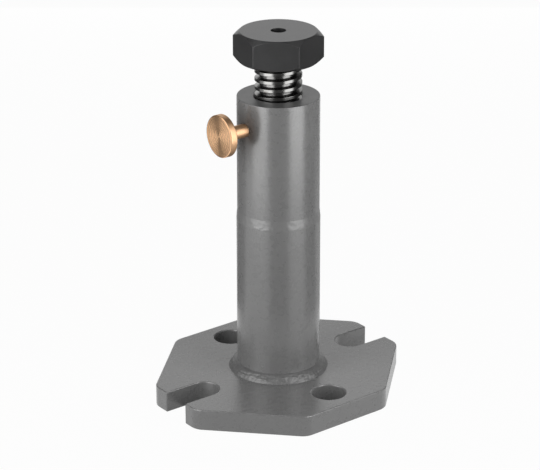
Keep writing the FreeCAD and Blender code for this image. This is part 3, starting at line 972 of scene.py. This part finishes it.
@dataclass
class Column:
    """Tube, threaded sleeve and the two welds."""

    thread: Thread
    lock: SideLine
    tube_paint: Finish = SatinPaint()
    sleeve_paint: SatinPaint = SatinPaint(name="sleeve_enamel", lumps_depth=0.00006)
    seam_paint: Finish = SatinPaint(
        name="seam_enamel", roughness=0.34, lumps_size=0.0025, lumps_depth=0.00006
    )
    # Painted shade: the foot weld's enamel is darker than the rest of the paint, for the corner
    # between tube and plate.
    foot_paint: Finish = SatinPaint(
        name="weld_enamel", tone=(0.086, 0.086, 0.086), roughness=0.46, lumps_size=0.0025
    )
    lock_hole_radius: float = 0.00405
    lock_hole_facets: int = 64
    thread_gap: float = 0.00025
    flank_gap: float = 0.00013
    countersink_radius: float = 0.01515
    nut_length: float = 0.024
    relief_radius: float = 0.015
    tube_bore_radius: float = 0.019
    register_gap: float = 0.0001
    land: float = 0.0016
    edge: float = 0.0005
    overcut: float = 0.001
    seam_facets: int = 360
    seam_rows: int = 14
    seam_swell: float = 0.00008
    seam_lumps: float = 0.00011
    seam_streaks: float = 0.00006
    seam_sink: float = 0.00012
    foot_facets: int = 576
    foot_rows: int = 16
    foot_crown: float = 0.00055
    foot_ripples: int = 62
    foot_sink: float = 0.00018
    foot_ripple_rise: float = 0.00008
    foot_lumps: float = 0.00026
    foot_streaks: float = 0.00028
    foot_toe: float = 0.0007
    tube: Reach = Reach.of("lower_tube")
    sleeve: Reach = Reach.of("threaded_sleeve")
    seam: Reach = Reach.of("seam_weld")
    foot: Reach = Reach.of("base_weld")

    def build_tube(self) -> None:
        """The plain tube that stands on the plate."""
        solid = ring(self.tube_bore_radius, self.tube.radius, *self.tube.ends)
        finished(solid, "painted_tube", "lower_tube", Body.COLUMN, self.tube_paint)

    def build_sleeve(self) -> None:
        """The tapped sleeve, its top face darkened and dulled by painted shade."""
        low, high = self.sleeve.ends
        radius = self.sleeve.radius
        pilot = self.thread.minor_radius - self.thread_gap
        nut_foot = high - self.nut_length
        land = self.tube_bore_radius + self.land
        register = self.tube_bore_radius - self.register_gap
        solid = turned(
            [
                (pilot, nut_foot), (self.relief_radius, nut_foot),
                (self.relief_radius, low), (register, low),
                (register, self.seam.low.z), (land, self.seam.low.z),
                (land, self.seam.high.z), (radius, self.seam.high.z),
                (radius, high), (self.countersink_radius, high),
                (pilot, high - self.countersink_radius + pilot),
            ]
        )
        broken(solid, self.edge, 4, above=nut_foot)
        tap = replace(
            self.thread,
            major_radius=self.thread.major_radius + self.thread_gap,
            minor_radius=self.thread.minor_radius + self.thread_gap,
            crest_width=self.thread.crest_width + 2.0 * self.flank_gap,
        )
        solid = carved(solid, tap.bar(nut_foot - self.overcut, high + self.overcut))
        place = self.lock.place(radius)
        tool = drill(self.lock_hole_radius, 2.0 * radius, place, self.lock_hole_facets)
        solid = carved(solid, tool)
        # Painted shade darkens and dulls the sleeve's top face.
        paint = replace(self.sleeve_paint, grimed_above=high)
        finished(solid, "painted_sleeve", "threaded_sleeve", Body.COLUMN, paint)

    def build_seam(self) -> None:
        """The dressed weld between the tube and the sleeve, a little uneven all round."""
        low, high = self.seam.ends
        land = self.tube_bore_radius + self.land
        tube, sleeve_radius = self.tube.radius, self.sleeve.radius
        profile = [(land, high), (land, low)]
        for row in range(self.seam_rows + 1):
            share = row / self.seam_rows
            radius = tube + (sleeve_radius - tube) * share
            profile.append((radius, low + (high - low) * share))
        solid = turned(profile, self.seam_facets)
        for corner in solid.verts:
            radius = corner.co.xy.length
            if radius < land + self.register_gap:
                continue
            share = (corner.co.z - low) / (high - low)
            # Full from an eighth of the way up, and thinning to nothing at the sleeve.
            body = min(max(share, 0.0) / 0.12, 1.0) * max(1.0 - share, 0.0) ** 0.7
            lump = noise.fractal(corner.co * 230.0, 0.6, 2.0, 3)
            streak = noise.fractal(corner.co * Vector((260.0, 260.0, 1000.0)), 0.7, 2.0, 2)
            rise = self.seam_swell + self.seam_lumps * lump + self.seam_streaks * streak
            scale = (radius + max(body * rise, -self.seam_sink)) / radius
            corner.co.x *= scale
            corner.co.y *= scale
        finished(solid, "seam_bead", "seam_weld", Body.COLUMN, self.seam_paint, 80.0)

    def build_foot(self) -> None:
        """The fillet weld round the tube's foot, laid in overlapping ripples."""
        low, high = self.foot.ends
        outer, tube = self.foot.radius, self.tube.radius
        leg, rise = outer - tube, high - low
        profile = [(tube, low)]
        for row in range(self.foot_rows + 1):
            share = row / self.foot_rows
            crown = math.sin(math.pi * share) * self.foot_crown
            profile.append((outer - leg * share + crown, low + rise * share + crown))
        solid = turned(profile, self.foot_facets)
        for corner in solid.verts:
            arm = corner.co.xy
            radius = arm.length
            out = (radius - tube) / leg
            up = (corner.co.z - low) / rise
            if out < 0.02 or up < 0.0:
                continue
            turn = math.atan2(arm.y, arm.x)
            # Each ripple bows across the bead and wanders a little from an even beat.
            bow = 0.9 * (out - 0.5) ** 2 + 0.6 * noise.noise(corner.co * 90.0)
            beat = turn * self.foot_ripples / math.tau + bow
            ripple = 1.0 - abs(2.0 * (beat % 1.0) - 1.0) ** 1.6
            lump = noise.fractal(corner.co * 170.0, 0.7, 2.0, 3)
            way = Vector((4.5 * math.cos(turn), 4.5 * math.sin(turn), 8.0 * up))
            streak = noise.fractal(way, 0.8, 2.0, 3)
            body = math.sin(math.pi * min(max(up, 0.0), 1.0)) ** 0.7
            push = body * (
                self.foot_ripple_rise * ripple
                + self.foot_lumps * lump
                + self.foot_streaks * streak
                - self.foot_sink
            )
            # The toe draws back here and there, so that its line on the plate isn't even.
            wander = noise.noise(corner.co * 120.0 + Vector((9.0, 2.0, 4.0)))
            toe = (1.0 - up) * self.foot_toe * wander
            corner.co.xy = arm * (radius + push + min(toe, 0.0)) / radius
            corner.co.z = max(corner.co.z + push * 0.8, low)
        finished(solid, "foot_bead", "base_weld", Body.COLUMN, self.foot_paint, 80.0)


@dataclass
class Spindle:
    """Screw, hex head, stop washer and the screw that keeps it."""

    thread: Thread
    black: Finish = BlackOxide()
    plain_steel: Finish = TurnedSteel(
        name="plain_steel", tone=(0.36, 0.355, 0.35), roughness=0.32
    )
    thread_foot: float = 0.1358
    thread_gap: float = 0.00002
    shank_radius: float = 0.011
    journal_radius: float = 0.006
    journal_gap: float = 0.0003
    washer_gap: float = 0.0001
    spigot_radius: float = 0.010
    centre_hole_radius: float = 0.0045
    centre_hole_depth: float = 0.018
    drill_tip: float = 0.58
    head_flats: float = 0.046
    head_turn: float = math.radians(5.0)
    head_spare: float = 0.001
    head_facets: int = 180
    top_face_radius: float = 0.0226
    top_slope: float = math.radians(40.0)
    foot_face_radius: float = 0.0228
    foot_slope: float = math.radians(34.0)
    edge: float = 0.0003
    retainer_flats: float = 0.016
    retainer_spare: float = 0.0005
    retainer_facets: int = 96
    retainer_face_share: float = 0.475
    retainer_slope: float = math.radians(30.0)
    retainer_shank_radius: float = 0.004
    retainer_edge: float = 0.00015
    screw: Reach = Reach.of("spindle")
    head: Reach = Reach.of("hex_head")
    washer: Reach = Reach.of("stop_washer")
    retainer: Reach = Reach.of("retaining_screw")

    def build_screw(self) -> None:
        """The threaded spindle, with its journal below and its spigot above."""
        foot, top = self.screw.ends
        head_foot = self.head.low.z
        hole_foot = self.head.high.z - self.centre_hole_depth
        drill_foot = hole_foot - self.centre_hole_radius * self.drill_tip
        journal_top = self.washer.high.z + self.journal_gap
        core = turned(
            [
                (0.0, foot), (self.journal_radius, foot),
                (self.journal_radius, journal_top), (self.shank_radius, journal_top),
                (self.shank_radius, head_foot), (self.spigot_radius, head_foot),
                (self.spigot_radius, top), (self.centre_hole_radius, top),
                (self.centre_hole_radius, hole_foot), (0.0, drill_foot),
            ]
        )
        broken(core, self.edge, 2, sharper_than=40.0)
        thread = self.thread.bar(self.thread_foot, head_foot - self.thread_gap)
        centre = turned(
            [
                (0.0, drill_foot), (self.centre_hole_radius, hole_foot),
                (self.centre_hole_radius, head_foot), (0.0, head_foot),
            ]
        )
        solid = carved(core, carved(thread, centre), Carving.JOIN)
        # Painted shade darkens the thread's roots and the bar inside them.
        steel = TurnedSteel(name="threaded_steel", oiled_below=self.thread.minor_radius)
        finished(solid, "steel_spindle", "spindle", Body.SPINDLE, steel, 50.0)

    def build_head(self) -> None:
        """The hexagon with both ends chamfered."""
        low, high = self.head.ends
        wide = self.head_flats / math.sqrt(3.0) + self.head_spare
        top_drop = (wide - self.top_face_radius) * math.tan(self.top_slope)
        foot_rise = (wide - self.foot_face_radius) * math.tan(self.foot_slope)
        solid = turned(
            [
                (self.spigot_radius, low), (self.foot_face_radius, low),
                (wide, low + foot_rise), (wide, high - top_drop),
                (self.top_face_radius, high), (self.centre_hole_radius, high),
                (self.centre_hole_radius, self.screw.high.z),
                (self.spigot_radius, self.screw.high.z),
            ],
            self.head_facets,
        )
        hexagonal(solid, self.head_flats, self.head_turn)
        broken(solid, self.edge, 2, sharper_than=22.0)
        finished(solid, "blackened_head", "hex_head", Body.SPINDLE, self.black, 50.0)

    def build_washer(self) -> None:
        """The stop washer."""
        bore = self.journal_radius + self.washer_gap
        solid = ring(bore, self.washer.radius, *self.washer.ends)
        broken(solid, self.edge)
        finished(solid, "stop_ring", "stop_washer", Body.WASHER, self.plain_steel)

    def build_retainer(self) -> None:
        """The hexagon screw under the washer."""
        low, high = self.retainer.ends
        head_top = self.screw.low.z
        wide = self.retainer_flats / math.sqrt(3.0) + self.retainer_spare
        face = self.retainer_flats * self.retainer_face_share
        solid = turned(
            [
                (0.0, low), (face, low),
                (wide, low + (wide - face) * math.tan(self.retainer_slope)),
                (wide, head_top), (self.retainer_shank_radius, head_top),
                (self.retainer_shank_radius, high), (0.0, high),
            ],
            self.retainer_facets,
        )
        hexagonal(solid, self.retainer_flats)
        broken(solid, self.retainer_edge, 2, sharper_than=22.0)
        finished(solid, "washer_screw", "retaining_screw", Body.SPINDLE, self.black, 50.0)


@dataclass
class LockScrew:
    """Brass thumb screw and the plug that it presses on."""

    line: SideLine
    radius: float = 0.004
    root_radius: float = 0.0033
    pitch: float = 0.00125
    crest_width: float = 0.00016
    flank: float = math.radians(30.0)
    thread_edge: float = 0.00004
    thread_facets: int = 48
    tip: float = 0.0188
    thread_end: float = 0.0236
    overlap: float = 0.0003
    knob_reach: float = 0.0429
    knob_radius: float = 0.0127
    knob_thickness: float = 0.0046
    knob_edge: float = 0.0007
    knob_facets: int = 96
    groove_pitch: float = 0.00025
    groove_depth: float = 0.00005
    plug_radius: float = 0.0038
    plug_length: float = 0.0042
    plug_tip: float = 0.0143
    plug_edge: float = 0.0002
    plug_facets: int = 64

    @property
    def brass(self) -> Finish:
        """The finish of both, its tool marks round the screw's own line."""
        return TurnedBrass(name="turned_brass", line=self.line, face=self.knob_reach)

    def laid(self, solid: BMesh) -> BMesh:
        """Lay an upright solid along the screw's line, its foot on the column's axis."""
        bmesh.ops.transform(solid, matrix=self.line.place(), verts=solid.verts)
        return solid

    def build_screw(self) -> Object:
        """The flat round knob on its shank, with a short thread in the sleeve.

        Returns:
            The screw.
        """
        back = self.knob_reach - self.knob_thickness
        rim = self.knob_radius - self.knob_edge
        quarters = 4 * int(rim / self.groove_pitch)
        face = []
        for quarter in range(quarters, -1, -1):
            groove, phase = divmod(quarter, 4)
            depth = self.groove_depth * (0.6 + 0.4 * math.sin(7.3 * groove))
            sink = (0.0, 0.5, 1.0, 0.5)[phase]
            face.append((rim * quarter / quarters, self.knob_reach - depth * sink))
        foot = self.thread_end - self.overlap
        solid = turned(
            [
                (0.0, foot), (self.radius, foot),
                (self.radius, back),
                *rounding(rim, back + self.knob_edge, self.knob_edge, -90.0),
                *rounding(rim, self.knob_reach - self.knob_edge, self.knob_edge, 0.0),
                *face[1:],
            ],
            self.knob_facets,
        )
        thread = Thread(
            major_radius=self.radius,
            minor_radius=self.root_radius,
            pitch=self.pitch,
            crest_width=self.crest_width,
            flank=self.flank,
            crest_height=self.tip,
            edge=self.thread_edge,
            steps=self.thread_facets,
        )
        solid = self.laid(carved(solid, thread.bar(self.tip, self.thread_end), Carving.JOIN))
        return finished(solid, "thumb_screw", "lock_screw", Body.LOCK, self.brass, 60.0)

    def build_plug(self) -> None:
        """The short plug between the screw's tip and the spindle's crests."""
        back = self.plug_tip + self.plug_length
        solid = ring(0.0, self.plug_radius, self.plug_tip, back, self.plug_facets)
        broken(solid, self.plug_edge, 2)
        finished(self.laid(solid), "soft_plug", "lock_plug", Body.PLUG, self.brass)


def around(angle: float, reach: float, height: float) -> Vector:
    """A place round the column, its angle in degrees from the camera's side."""
    bearing = VIEW_AZIMUTH + math.radians(angle)
    return Vector((math.sin(bearing) * reach, -math.cos(bearing) * reach, height))


@dataclass(frozen=True)
class Softbox:
    """A flat light beside the jack.

    Its angle is in degrees from the camera's side, a radiance of 1 makes its face white,
    and it faces the column's axis at the aimed height.
    """

    name: str
    angle: float
    radiance: float
    share: Share | None = None
    reach: float = 0.38
    height: float = 0.30
    aimed: float = 0.30
    size: Span = (0.30, 0.58)
    mirrored: bool = True

    def build(self, knob: Object) -> None:
        """Set the light up.

        Args:
            knob: the piece that a shared light is kept to, or off.
        """
        light = bpy.data.lights.new(self.name, "AREA")
        light.shape = "RECTANGLE"
        light.size, light.size_y = self.size
        light.energy = self.radiance * math.pi * self.size[0] * self.size[1]
        lamp = linked(self.name, light)
        lamp.location = around(self.angle, self.reach, self.height)
        lamp.rotation_mode = "QUATERNION"
        heading = Vector((0.0, 0.0, self.aimed)) - lamp.location
        lamp.rotation_quaternion = heading.to_track_quat("-Z", "Y")
        lamp.visible_camera = False
        lamp.visible_glossy = self.mirrored
        if self.share is not None:
            group = bpy.data.collections.new(f"{self.name}_group")
            group.objects.link(knob)
            group.collection_objects[0].light_linking.link_state = self.share.value
            lamp.light_linking.receiver_collection = group


@dataclass(frozen=True)
class Fill(Softbox):
    """A low light further off, which shows in no reflection."""

    reach: float = 0.8
    height: float = 0.15
    aimed: float = 0.1
    size: Span = (0.6, 0.3)
    mirrored: bool = False


@dataclass(frozen=True)
class Flag:
    """A card bent round the jack, which only shows in reflections.

    Its angles are in degrees from the camera's side, and its section is (reach, height) pairs.
    """

    name: str
    start: float
    end: float
    grey: float
    section: Profile
    steps: int = 24

    def build(self) -> None:
        """Set the card up."""
        start = VIEW_AZIMUTH + math.radians(self.start - 90.0)
        solid = spun(self.section, math.radians(self.end - self.start), self.steps, start)
        card = meshed(self.name, solid)
        card.visible_camera = False
        card.visible_diffuse = False
        card.visible_shadow = False
        tone = (self.grey, self.grey, self.grey)
        grey = wired(bpy.data.materials.new(self.name), lambda graph: graph.glow(tone))
        card.data.materials.append(grey)


@dataclass
class Studio:
    """White floor and sky, soft lights, cards, and the camera where the photograph was taken."""

    distance: float = 1.3510
    camera_height: float = 0.63734
    pitch: float = math.radians(21.779)
    yaw: float = math.radians(0.1977)
    focal_pixels: float = 2434.96
    frame_pixels: float = 540.0
    sensor: float = 36.0
    clip: Span = (0.05, 30.0)
    ambient: float = 0.06
    floor_size: float = 6.0
    floor_tone: Colour = (0.35, 0.35, 0.35)
    floor_glow: float = 0.97
    white: Colour = (1.0, 1.0, 1.0)

    LIGHTS: ClassVar[Sequence[Softbox]] = (
        Softbox("left_softbox", -51.0, 3.7, Share.SPARED),
        Softbox("knob_softbox", -64.0, 0.55, Share.ALONE, 0.38, 0.26, 0.26, (0.40, 0.50)),
        Softbox("right_softbox", 51.0, 3.5, size=(0.28, 0.58)),
        Fill("left_fill", -105.0, 1.9),
        Fill("right_fill", 105.0, 4.2),
        Fill("back_fill", 180.0, 3.6),
    )
    NEAR: ClassVar[Profile] = ((0.13, 0.0006), (0.95, 0.0006), (0.95, 1.8))
    ROOF: ClassVar[Profile] = ((0.001, 1.3), (0.6, 1.3))
    FLAGS: ClassVar[Sequence[Flag]] = (
        Flag("middle_flag", -23.0, 27.0, 0.14, NEAR),
        Flag("left_flag", -150.0, -99.0, 0.10, NEAR),
        Flag("right_flag", 74.0, 118.0, 0.08, NEAR),
        Flag("right_far_flag", 118.0, 150.0, 0.12, ((0.42, 0.0006), *NEAR[1:])),
        Flag("right_strip", 118.0, 165.0, 0.50, ((0.13, 0.0006), (0.42, 0.0006))),
        Flag("front_roof_flag", -100.0, 100.0, 0.15, ROOF),
        Flag("back_roof_flag", 100.0, 260.0, 0.40, ROOF),
        # Painted shadow: a dark card under the plate, seen only in reflections, stands in for
        # the floor's shade beneath it.
        Flag("shade_flag", -180.0, 180.0, 0.15, ((0.001, 0.0003), (0.066, 0.0003))),
        Flag("back_flag", 165.0, 205.0, 0.10, ((0.30, 0.0006), (0.65, 0.0006))),
    )

    def sky(self, graph: Graph) -> Wire:
        """White to the eye, and dim as a light.

        Args:
            graph: takes the nodes.

        Returns:
            The background shader.
        """
        strength = graph.seen() * (1.0 - self.ambient) + self.ambient
        light = {"Color": rgba(self.white), "Strength": strength}
        return graph.add("ShaderNodeBackground", inputs=light)

    def paving(self, graph: Graph) -> Wire:
        """White to the eye but for the jack's shadow, and grey under the lamps.

        Args:
            graph: takes the nodes.

        Returns:
            The surface shader.
        """
        matt = graph.add("ShaderNodeBsdfDiffuse", inputs={"Color": rgba(self.floor_tone)})
        share = graph.seen() * self.floor_glow
        mixed = {0: share, 1: matt, 2: graph.glow(self.white)}
        return graph.add("ShaderNodeMixShader", inputs=mixed)

    def build_floor(self) -> None:
        """A pale floor."""
        solid = bmesh.new()
        bmesh.ops.create_grid(solid, x_segments=1, y_segments=1, size=self.floor_size)
        floor = meshed("studio_floor", solid)
        floor.data.materials.append(wired(bpy.data.materials.new("pale_floor"), self.paving))

    def build_camera(self) -> None:
        """The camera, turned as the photograph shows the jack."""
        data = bpy.data.cameras.new("photo_camera")
        data.sensor_width = self.sensor
        data.lens = self.focal_pixels / self.frame_pixels * self.sensor
        data.clip_start, data.clip_end = self.clip
        camera = linked("photo_camera", data)
        camera.location = around(0.0, self.distance, self.camera_height)
        camera.rotation_mode = "QUATERNION"
        heading = Matrix.Rotation(VIEW_AZIMUTH, 3, "Z")
        tilt = Matrix.Rotation(math.pi / 2.0 - self.pitch, 3, "X")
        aside = Matrix.Rotation(self.yaw, 3, "Y")
        camera.rotation_quaternion = (heading @ tilt @ aside).to_quaternion()
        bpy.context.scene.camera = camera

    def build(self, knob: Object) -> None:
        """Set up the whole studio.

        Args:
            knob: the polished piece that would mirror the left softbox as a white disc.
        """
        bpy.context.scene.world = wired(bpy.data.worlds.new("studio_white"), self.sky)
        self.build_floor()
        for light in self.LIGHTS:
            light.build(knob)
        for flag in self.FLAGS:
            flag.build()
        self.build_camera()
        LOG.info("studio: %d lights, %d cards", len(self.LIGHTS), len(self.FLAGS))


def main() -> None:
    """Build the jack's pieces in order, then the studio."""
    logging.basicConfig(level=logging.INFO, format="%(name)s %(message)s")
    bpy.context.scene.view_settings.view_transform = "Standard"
    shank = Reach.of("lock_screw")
    line = SideLine((shank.low.z + shank.high.z) / 2.0, math.radians(-135.0))
    thread = Thread(
        major_radius=0.014,
        minor_radius=0.01125,
        pitch=0.005,
        crest_width=0.00183,
        flank=math.radians(15.0),
        crest_height=Reach.of("hex_head").low.z,
        crest_angle=math.radians(260.0),
    )
    BasePlate().build()
    column = Column(thread, line)
    column.build_tube()
    column.build_seam()
    column.build_foot()
    column.build_sleeve()
    spindle = Spindle(thread)
    spindle.build_screw()
    spindle.build_head()
    spindle.build_washer()
    spindle.build_retainer()
    lock = LockScrew(line)
    knob = lock.build_screw()
    lock.build_plug()
    Studio().build(knob)


if __name__ == "__main__":
    main()
